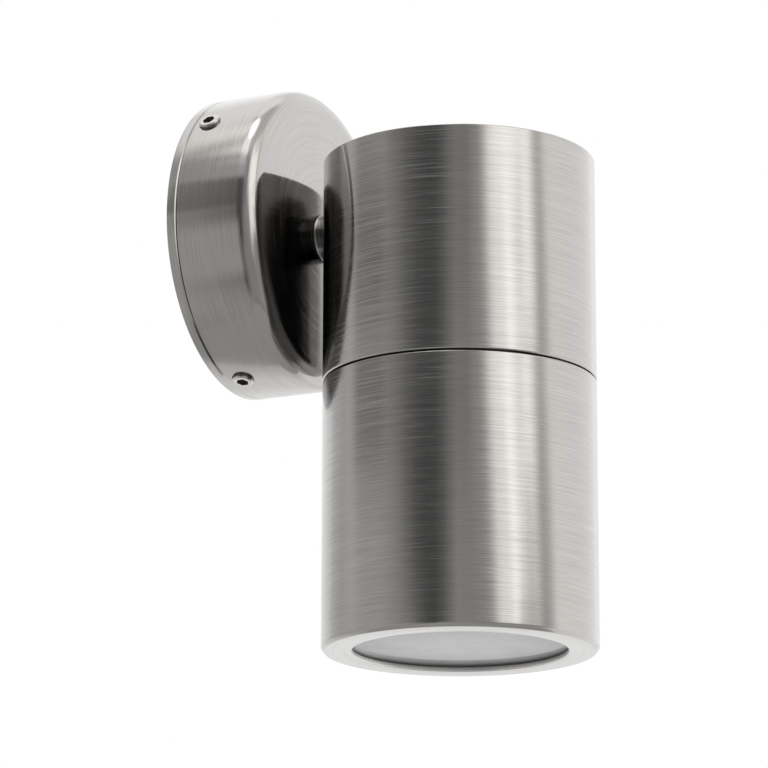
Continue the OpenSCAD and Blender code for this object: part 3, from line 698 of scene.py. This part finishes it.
cap_shape = turned(
    [
        (0, TUBE_TOP - CAP_T, 0),
        (CAP_SEAT - CAP_GAP, TUBE_TOP - CAP_T, FINE_EDGE),
        (CAP_SEAT - CAP_GAP, TUBE_TOP, EDGE),
        (0, TUBE_TOP, 0),
    ]
)
cap = finished("body_cap_turned", on_tube(cap_shape), tube_steel)
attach(cap, "fitting")
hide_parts("body_cap")

# The neck ring: a turned steel ring pressed into the tube's bottom. Its lower end carries the
# thread that the hood screws on to, above it a groove with a rubber ring.
NECK_TOP = -23.5
NECK_END = -48.0
NECK_PRESS = 27.95
NECK_CREST = 26.9
NECK_ROOT = 26.3
NECK_BORE = 24.0
GROOVE_R = 25.8
GROOVE_TOP = -37.8
GROOVE_END = -40.0
NECK_EDGE = 0.2
RELIEF_START = 0.3
RELIEF_END = 0.9
THREAD_PITCH = 1.5
THREAD_STEPS = 128
THREAD_SINK = 0.05
THREAD_SHARP_ANGLE = 40
ROOT_SHARE = 0.42
CREST_SHARE = 0.08
NECK_THREAD_FOOT = 1.2
NECK_THREAD_HEAD = 1.3
BRACKET_SCREW_X = 26.0
BRACKET_SCREW_HOLE = 1.3
BRACKET_DRILL = 12

ring_steel = turned_steel("ring_steel", centre=(0, TUBE_Y * MM, 0), base=0.45, polish=0.22)
neck = turned(
    [
        (NECK_BORE, NECK_END, SOFT_EDGE),
        (NECK_ROOT, NECK_END, SOFT_EDGE),
        (NECK_ROOT, GROOVE_END - RELIEF_END, 0),
        (NECK_CREST, GROOVE_END - RELIEF_START, 0),
        (NECK_CREST, GROOVE_END, FINE_EDGE),
        (GROOVE_R, GROOVE_END, 0),
        (GROOVE_R, GROOVE_TOP, 0),
        (NECK_CREST, GROOVE_TOP, FINE_EDGE),
        (NECK_CREST, TUBE_BOTTOM, 0),
        (NECK_PRESS, TUBE_BOTTOM, FINE_EDGE),
        (NECK_PRESS, NECK_TOP, NECK_EDGE),
        (NECK_BORE, NECK_TOP, SOFT_EDGE),
    ]
)
neck_ring = finished("neck_ring_turned", on_tube(neck), ring_steel)
ring_holes = bmesh.new()
for side in (-1, 1):
    place = at(side * BRACKET_SCREW_X, TUBE_Y, NECK_TOP)
    add_bar(ring_holes, BRACKET_SCREW_HOLE, BRACKET_DRILL, place, sides=32)
cut_away(neck_ring, ring_holes)
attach(neck_ring, "fitting")
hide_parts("neck_ring")


def thread_ridge(root, crest, start, end):
    """A screw thread's ridge round the tube's axis, from one height to the other."""
    made = bmesh.new()
    turns = (end - start) / THREAD_PITCH
    half = THREAD_PITCH * ROOT_SHARE
    flat = THREAD_PITCH * CREST_SHARE
    corners = [
        made.verts.new((r * MM, 0, (start + h) * MM))
        for r, h in ((root, -half), (crest, -flat), (crest, flat), (root, half))
    ]
    bmesh.ops.spin(
        made,
        geom=[made.faces.new(corners)],
        cent=(0, 0, 0),
        axis=(0, 0, 1),
        dvec=(0, 0, THREAD_PITCH / THREAD_STEPS * MM),
        angle=math.tau * turns,
        steps=round(turns * THREAD_STEPS),
        use_merge=False,
        use_duplicate=False,
    )
    bmesh.ops.recalc_face_normals(made, faces=made.faces[:])
    return on_tube(made)


neck_ridge = thread_ridge(
    NECK_ROOT - THREAD_SINK,
    NECK_CREST,
    NECK_END + NECK_THREAD_FOOT,
    GROOVE_END - NECK_THREAD_HEAD,
)
neck_thread = finished("neck_ring_thread", neck_ridge, ring_steel, sharp=THREAD_SHARP_ANGLE)
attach(neck_thread, "fitting")
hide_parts("neck_ring")
nodes["neck_seal"].data.materials[0] = rubber

# The lamp holder: a glazed ceramic disc with two bayonet slots and brass contacts, screwed under a
# pressed steel bracket that lies on the neck ring.
ceramic = moulded(
    "holder_ceramic",
    (0.78, 0.76, 0.71),
    0.3,
    speckle=0.04,
    size=0.5,
    Coat_Weight=0.6,
    Coat_Roughness=0.1,
)
nodes["holder_bracket"].data.materials[0] = inner_steel
nodes["lamp_holder"].data.materials[0] = ceramic
nodes["holder_contacts"].data.materials[0] = brass
for name in ("bracket_screws", "holder_screws"):
    nodes[name].data.materials[0] = fastener

# The lamp: a die-cast shell with a moulded front lens over a round light engine, its driver potted
# in its neck, on two plated bayonet pins.
shell = moulded("lamp_shell", (0.66, 0.66, 0.66), 0.38, size=0.35, depth=0.015)
front_lens = moulded(
    "lamp_lens_plastic",
    (0.74, 0.75, 0.76),
    0.3,
    speckle=0.03,
    size=0.6,
    Coat_Weight=0.5,
    Coat_Roughness=0.08,
)
board = moulded("lamp_board", (0.7, 0.71, 0.69), 0.4, speckle=0.05, size=0.3, depth=0.006)
potting = moulded("driver_potting", (0.03, 0.03, 0.034), 0.45, size=0.6, depth=0.03)
nickel = moulded("nickel_pins", (0.6, 0.57, 0.52), 0.22, size=0.2, depth=0.003, Metallic=1.0)
for name, finish in (
    ("lamp_housing", shell),
    ("lamp_lens", front_lens),
    ("led_board", board),
    ("lamp_driver", potting),
    ("lamp_pins", nickel),
):
    nodes[name].data.materials[0] = finish

# The hood: the lower length of the tube, turned with a lip in its mouth for the glass and a thread
# inside its top that screws it on to the neck ring.
HOOD_TOP = -37.45
HOOD_BOTTOM = -96.75
HOOD_BORE = 27.0
HOOD_MOUTH = 27.95
THREAD_TOP = -40.5
THREAD_END = -49.5
THREAD_ROOT = 27.6
LIP_TOP = -95.75
WINDOW_R = 23.35
WINDOW_EDGE = 0.05
HOOD_CHAMFER = 0.75
HOOD_EDGE = 0.2
HOOD_THREAD_RUN = 0.9

hood_shape = turned(
    [
        (HOOD_MOUTH, HOOD_TOP, FINE_EDGE),
        (HOOD_MOUTH, THREAD_TOP, 0),
        (THREAD_ROOT, THREAD_TOP, 0),
        (THREAD_ROOT, THREAD_END, 0),
        (HOOD_BORE, THREAD_END, HOOD_EDGE),
        (HOOD_BORE, LIP_TOP, 0),
        (WINDOW_R, LIP_TOP, FINE_EDGE),
        (WINDOW_R, HOOD_BOTTOM, SOFT_EDGE),
        (TUBE_R - HOOD_CHAMFER, HOOD_BOTTOM, HOOD_EDGE),
        (TUBE_R, HOOD_BOTTOM + HOOD_CHAMFER, HOOD_EDGE),
        (TUBE_R, HOOD_TOP, EDGE),
    ]
)
hood = finished("hood_turned", on_tube(hood_shape), tube_steel)
# The window's wall is turned to a rougher finish, and its steel is painted far paler than the tube's:
# painted light on a wall that lies in shade.
lip_steel_painted_light = moulded(
    "lip_steel_painted_light", (0.85, 0.84, 0.83), 0.5, speckle=0.06, size=0.3, depth=0.004, Metallic=1.0
)
hood.data.materials.append(lip_steel_painted_light)
for face in hood.data.polygons:
    inward = math.hypot(face.center.x, face.center.y - TUBE_Y * MM)
    if inward < (WINDOW_R + WINDOW_EDGE) * MM:
        face.material_index = 1
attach(hood, "hood")
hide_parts("hood")

hood_ridge = thread_ridge(
    THREAD_ROOT + THREAD_SINK,
    HOOD_BORE,
    THREAD_END + HOOD_THREAD_RUN,
    THREAD_TOP - HOOD_THREAD_RUN,
)
hood_thread = finished("hood_thread", hood_ridge, tube_steel, sharp=THREAD_SHARP_ANGLE)
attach(hood_thread, "hood")
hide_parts("hood")

# The glass: a disc of satin-etched glass laid on a thin gasket inside the hood's lip, and held
# down on it by a cushion and a slotted ring screwed in above. Its colour carries painted shade:
# it is painted paler in its middle and darker towards the lip, where the lip shades it.
MIDDLE_R = 5.0

glass, glass_shader = new_finish(
    "frosted_glass",
    Roughness=0.4,
    IOR=1.5,
    Coat_Weight=0.45,
    Coat_Roughness=0.03,
    Coat_IOR=1.5,
)
on_glass = add(glass, "TexCoord").outputs["Object"]
etching = add(glass, "TexNoise", {"Vector": on_glass, "Scale": 1 / (6 * MM), "Detail": 2.0})
milky = spread(glass, etching.outputs["Fac"], 0.23, 0.29)
level_place = add(glass, "VectorMath", {0: on_glass, 1: (1, 1, 0)}, operation="MULTIPLY")
from_axis = add(
    glass,
    "VectorMath",
    {0: level_place.outputs["Vector"], 1: (0, TUBE_Y * MM, 0)},
    operation="DISTANCE",
).outputs["Value"]
# Painted shade: the etched tone is painted paler in the middle and darker out at the lip.
painted_lip_shade = between(glass, from_axis, MIDDLE_R * MM, WINDOW_R * MM, 1.3, 0.72)
etched_tone_and_painted_shade = tinted(glass, reckon(glass, "MULTIPLY", milky, painted_lip_shade), 0.985, 1.0, 1.01)
satin = add(glass, "TexNoise", {"Vector": on_glass, "Scale": 1 / (0.15 * MM), "Detail": 2.0})
satin_bump = add(
    glass, "Bump", {"Height": satin.outputs["Fac"], "Strength": 0.3, "Distance": 0.002 * MM}
)
drive(glass, glass_shader, Base_Color=etched_tone_and_painted_shade, Normal=satin_bump.outputs["Normal"])
nodes["lens_glass"].data.materials[0] = glass
nodes["lens_ring"].data.materials[0] = ring_steel
silicone = moulded("silicone", (0.12, 0.12, 0.12), 0.45, speckle=0.1, size=0.4, depth=0.005)
for name in ("lens_gasket", "lens_cushion"):
    nodes[name].data.materials[0] = silicone

# The studio: a pale round floor well below the light, and a room of soft dark and bright bands and
# panels round it, which the steel mirrors. A disc lamp hangs overhead, and a broad lamp stands in
# front, on the left, that the steel doesn't mirror.
FLOOR_R = 0.24
FLOOR_DROP = 0.35
FLOOR_SIDES = 96

floor_mesh = bmesh.new()
bmesh.ops.create_circle(floor_mesh, cap_ends=True, segments=FLOOR_SIDES, radius=FLOOR_R)
floor_mesh.transform(Matrix.Translation((0, TUBE_Y * MM, -FLOOR_DROP)))
pale = new_finish("pale_floor", Base_Color=(0.42, 0.42, 0.42, 1), Roughness=0.8)[0]
floor = finished("floor", floor_mesh, pale)

# Directions in the room are given in degrees: a bearing round the upright axis, with 0 on the
# light's right and 90 behind the wall, and a height above the level.
world = bpy.data.worlds.new("studio")
bpy.context.scene.world = world
world.use_nodes = True
way = add(world, "SeparateXYZ", {"Vector": add(world, "TexCoord").outputs["Generated"]})


def times(one, other):
    """One value of the room times another."""
    return reckon(world, "MULTIPLY", one, other)


def mixed(share, one, other):
    """Goes from one value of the room to the other as the share goes from 0 to 1."""
    return add(world, "Mix", {0: share, 2: one, 3: other}, data_type="FLOAT").outputs[0]


def in_degrees(angle):
    """An angle's value in degrees."""
    return times(angle, 180 / math.pi)


height = in_degrees(reckon(world, "ARCSINE", way.outputs["Z"]))
bearing = in_degrees(reckon(world, "ARCTAN2", way.outputs["Y"], way.outputs["X"]))
bearing = reckon(world, "WRAP", bearing, 360.0, 0.0)

# The room's level by bearing. Past the dark band, its bands lean a little with the height.
LEAN = 6
LEAN_HEIGHT = 26
LEAN_FROM = 203
LEAN_TO = 224
ROOM = (
    # bearing, level
    (0, 1.12),
    (12, 0.95),
    (40, 0.92),
    (54, 0.98),
    (66, 0.93),
    (76, 0.72),
    (90, 0.62),
    (105, 0.7),
    (116, 0.61),
    (136, 0.575),
    (144, 0.5),
    (153, 0.4),
    (161, 0.25),
    (169, 0.135),
    (177, 0.11),
    (185, 0.115),
    (192, 0.18),
    (203, 0.42),
    (214, 0.4),
    (225, 0.46),
    (229, 0.6),
    (236, 1.35),
    (244, 1.5),
    (250, 2.0),
    (257, 1.5),
    (263, 1.12),
    (269, 1.2),
    (277, 0.66),
    (283, 0.78),
    (290, 1.24),
    (330, 1.2),
)
ROOM_BRIGHTEST = 2.0
lean = times(
    between(world, height, 0, LEAN_HEIGHT, -LEAN, LEAN, "LINEAR"),
    between(world, bearing, LEAN_FROM, LEAN_TO),
)
leaning = reckon(world, "ADD", bearing, lean)
room = add(world, "ValToRGB", {"Fac": reckon(world, "DIVIDE", leaning, 360.0)})
ramp = room.color_ramp
while len(ramp.elements) < len(ROOM):
    ramp.elements.new(1.0)
for stop, (degrees, level) in zip(ramp.elements, ROOM):
    share = level / ROOM_BRIGHTEST
    stop.position = degrees / 360
    stop.color = (share, share, share, 1)
light = times(room.outputs["Color"], ROOM_BRIGHTEST)

RIPPLE_WIDTH = 2.4
ripple = add(
    world,
    "TexNoise",
    {"W": reckon(world, "DIVIDE", bearing, RIPPLE_WIDTH), "Detail": 2.0},
    noise_dimensions="1D",
)
light = times(light, spread(world, ripple.outputs[0], 0.92, 1.08))


def patch(start, end, edge, low, high, fade):
    """How far a direction lies in a soft-edged patch of the room, by its bearing and height."""
    middle = (start + end) / 2
    half = (end - start) / 2
    off = reckon(world, "WRAP", reckon(world, "SUBTRACT", bearing, middle), 180.0, -180.0)
    inside = between(world, reckon(world, "ABSOLUTE", off), half + edge, half - edge)
    inside = times(inside, between(world, height, low - fade, low + fade))
    return times(inside, between(world, height, high + fade, high - fade))


# Shades scale the light that the room has in their place.
SHADES = (
    # share, bearing from and to, its soft edge, height from and to, its soft edge
    (0.46, 104, 140, 8, 15.3, 24, 2),
    (0.69, 140, 165, 8, 15.3, 36, 2),
    (1.5, 259, 275, 4, 15.3, 24, 1),
    (0.78, 198, 214, 6, 15.5, 32, 2),
)
for share, *place in SHADES:
    light = times(light, between(world, patch(*place), 0, 1, 1, share, "LINEAR"))

# Panels hang in front of the room, the later over the earlier, each with a level of its own.
PANELS = (
    # level, bearing from and to, its soft edge, height from and to, its soft edge
    (0.78, -10, 370, 1, 55, 100, 8),
    (1.4, -32, 80, 10, 56, 90, 8),
    (1.3, 25, 124, 8, 55, 72, 8),
    (1.7, 100, 137, 14, 70, 88, 12),
    (1.22, 15, 50, 8, 30, 55, 8),
    (1.06, 5, 50, 8, -45, -8, 7),
    (1.25, 247, 277, 5, 44, 54, 4),
    (1.8, 233, 271, 6, 24, 44, 4),
    (0.5, 100, 165, 10, 37, 50, 4),
    (0.62, 152, 200, 7, 36, 50, 3),
    (0.9, 148, 192, 7, 46, 56, 3),
    (1.8, 140, 196, 7, 54, 86, 4),
    (0.54, 95, 172, 12, -33, 4, 7),
    (0.4, 185, 275, 10, -100, -12, 8),
    (0.5, 243, 285, 6, -100, -1, 5),
    (0.45, 60, 300, 15, -100, -48, 12),
    (0.34, 195, 290, 10, -100, -48, 8),
    (0.8, 280, 415, 15, -100, -48, 12),
    (0.42, 254, 284, 5, -30, 5, 4),
)
for level, *place in PANELS:
    light = mixed(patch(*place), light, level)
STUDIO_LEVEL = 1.125
light = times(light, STUDIO_LEVEL)

# Light that has been thrown to and fro between canopy and tube is dimmer than the room. The first
# patch is where it isn't after many throws, the second where it is after a few.
MANY_THROWS = (3.5, 5)
MANY_SHARE = 0.3
FEW_THROWS = (2.2, 2.8)
FEW_SHARE = 0.4
rays = add(world, "LightPath").outputs
throws = rays["Ray Depth"]
many_share = between(world, patch(282, 350, 8, -60, 60, 8), 0, 1, MANY_SHARE, 1, "LINEAR")
light = times(light, between(world, throws, *MANY_THROWS, 1, many_share))
few = times(patch(62, 298, 10, -60, 27, 6), between(world, throws, *FEW_THROWS))
light = times(light, between(world, few, 0, 1, 1, FEW_SHARE, "LINEAR"))

# The camera itself sees plain white, and two of the room's sides are a little warm.
WARM_SIDES = ((92, 155), (197, 308))
WARM_FADE = 4
WARM_RED = 1.02
WARM_BLUE = 0.975
seen = rays["Is Camera Ray"]
light = mixed(seen, light, 1.0)
warm = 0.0
for start, end in WARM_SIDES:
    begun = between(world, bearing, start - WARM_FADE, start + WARM_FADE)
    over = between(world, bearing, end - WARM_FADE, end + WARM_FADE, 1, 0)
    warm = reckon(world, "ADD", warm, times(begun, over))
warm = times(warm, reckon(world, "SUBTRACT", 1.0, seen))
tint = add(
    world,
    "CombineColor",
    {
        "Red": between(world, warm, 0, 1, 1, WARM_RED, "LINEAR"),
        "Green": 1.0,
        "Blue": between(world, warm, 0, 1, 1, WARM_BLUE, "LINEAR"),
    },
)
world_light = world.node_tree.nodes["Background"]
world.node_tree.links.new(light, world_light.inputs["Strength"])
world.node_tree.links.new(tint.outputs["Color"], world_light.inputs["Color"])

# The two lamps, with their places and what they point at in metres. The overhead lamp's power
# gives its disc a level of its own.
OVERHEAD_SIZE = 0.45
OVERHEAD_LEVEL = 1.4 * STUDIO_LEVEL
OVERHEAD_POWER = OVERHEAD_LEVEL * math.pi * math.pi * OVERHEAD_SIZE**2 / 4
OVERHEAD_PLACE = Vector((-0.25, 0, 1.16))
OVERHEAD_AIM = Vector((0, 0, 0))
FRONT_SIZE = 1.0
FRONT_POWER = 13.8
FRONT_PLACE = Vector((-1.557, -0.814, 0.98))
FRONT_AIM = Vector((0, -0.054, -0.02))


def soft_lamp(name, shape, size, power, place, aim):
    """A flat soft lamp that stands in its place and points at its aim."""
    lamp = bpy.data.lights.new(name, "AREA")
    lamp.shape = shape
    lamp.size = size
    lamp.energy = power
    stand = bpy.data.objects.new(name, lamp)
    bpy.context.collection.objects.link(stand)
    stand.location = place
    stand.rotation_euler = (aim - place).to_track_quat("-Z", "Y").to_euler()
    return stand


soft_lamp("overhead_light", "DISK", OVERHEAD_SIZE, OVERHEAD_POWER, OVERHEAD_PLACE, OVERHEAD_AIM)
front_lamp = soft_lamp("front_light", "SQUARE", FRONT_SIZE, FRONT_POWER, FRONT_PLACE, FRONT_AIM)
front_lamp.visible_glossy = False

# The camera stands low on the light's left, as in the photograph, and looks up to its right.
CAMERA_PLACE = (-0.767636, -0.41735, -0.255041)
CAMERA_BEARING = 26.384
CAMERA_HEIGHT = 14.3895
CAMERA_ROLL = 0.1281
CAMERA_LENS = 187.945
CAMERA_FILM = 36

camera_lens = bpy.data.cameras.new("camera")
camera_lens.sensor_width = CAMERA_FILM
camera_lens.lens = CAMERA_LENS
camera_lens.clip_start = 0.01
camera = bpy.data.objects.new("camera", camera_lens)
bpy.context.collection.objects.link(camera)
camera.matrix_world = (
    Matrix.Translation(CAMERA_PLACE)
    @ Matrix.Rotation(math.radians(CAMERA_BEARING - 90), 4, "Z")
    @ Matrix.Rotation(math.radians(CAMERA_HEIGHT + 90), 4, "X")
    @ Matrix.Rotation(math.radians(CAMERA_ROLL), 4, "Z")
)
bpy.context.scene.camera = camera
bpy.context.scene.view_settings.view_transform = "Standard"
